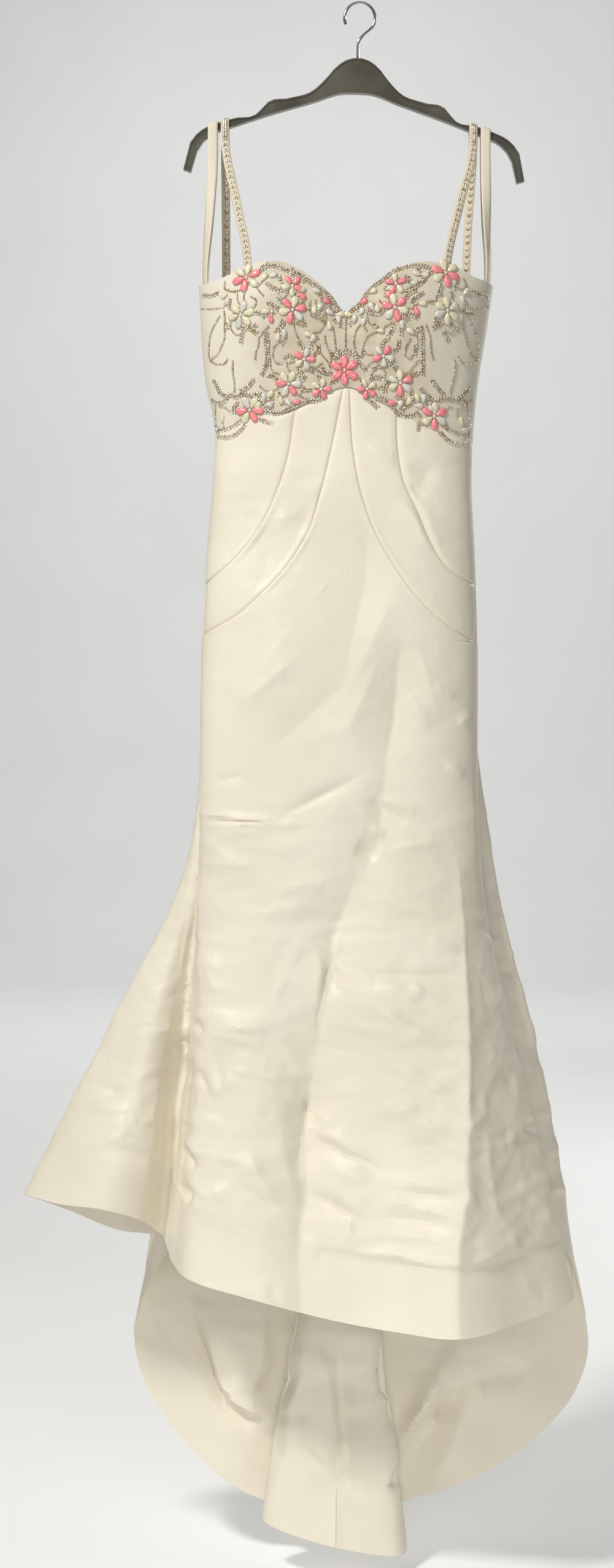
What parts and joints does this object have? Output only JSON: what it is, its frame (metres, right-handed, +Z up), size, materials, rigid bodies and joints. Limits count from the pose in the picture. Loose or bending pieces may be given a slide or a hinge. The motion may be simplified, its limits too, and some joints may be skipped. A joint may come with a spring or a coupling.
{
  "type": "mermaid gown on a hanger",
  "caption": "Floor-length mermaid gown of stiff ivory satin with a beaded sweetheart bodice, thin straps and a short train, hanging on a dark plastic hanger.",
  "frame": {"origin": "inside of the hook's top, where the rail carries the hanger", "axes": "+Z up along the gown's length, +X to the right of someone who looks at the front, +Y from the front of the gown to its back"},
  "size_m": [0.761, 0.2946, 2.0617],
  "materials": {
    "satin": "stiff ivory satin with a soft sheen",
    "bead_net": "greige net sewn with small beads",
    "strap": "net strap covered in beads",
    "tape": "plain pale woven tape",
    "hanger": "dark moulded plastic, glossy",
    "chrome": "polished wire",
    "petal": "pink and cream petal beads round a small gem",
    "zip": "ivory coated zip slider"
  },
  "bodies": {
    "root": {"hanger_body": "hanger", "hanger_hook": "chrome", "bodice_front_centre": "satin", "bodice_front_side_left": "satin", "bodice_front_side_right": "satin", "bodice_back_left": "satin", "bodice_back_right": "satin", "bodice_net_overlay": "bead_net", "skirt_front_centre": "satin", "skirt_front_mid_left": "satin", "skirt_front_mid_right": "satin", "skirt_front_side_left": "satin", "skirt_front_side_right": "satin", "skirt_back_left": "satin", "skirt_back_right": "satin", "strap_left": "strap", "strap_right": "strap", "hanger_tape_left": "tape", "hanger_tape_right": "tape", "zip_slider": "zip", "flower_brow_left": "petal", "flower_brow_right": "petal", "flower_cup_top_left": "petal", "flower_cup_top_right": "petal", "flower_cup_left": "petal", "flower_cup_right": "petal", "flower_side_left": "petal", "flower_side_right": "petal", "flower_under_cup_left": "petal", "flower_under_cup_right": "petal", "flower_waist_left": "petal", "flower_waist_right": "petal", "flower_centre_left": "petal", "flower_centre_right": "petal", "flower_centre": "petal", "flower_hip_left": "petal", "flower_hip_right": "petal"},
    "zip_pull": {"zip_pull": "zip"}
  },
  "joints": [
    {"name": "zip_pull_hinge", "type": "hinge", "parent": "root", "child": "zip_pull", "pos_m": [-0.0203, 0.04855, -0.417], "axis": [1, 0, 0], "range_deg": [0, 150]}
  ]
}
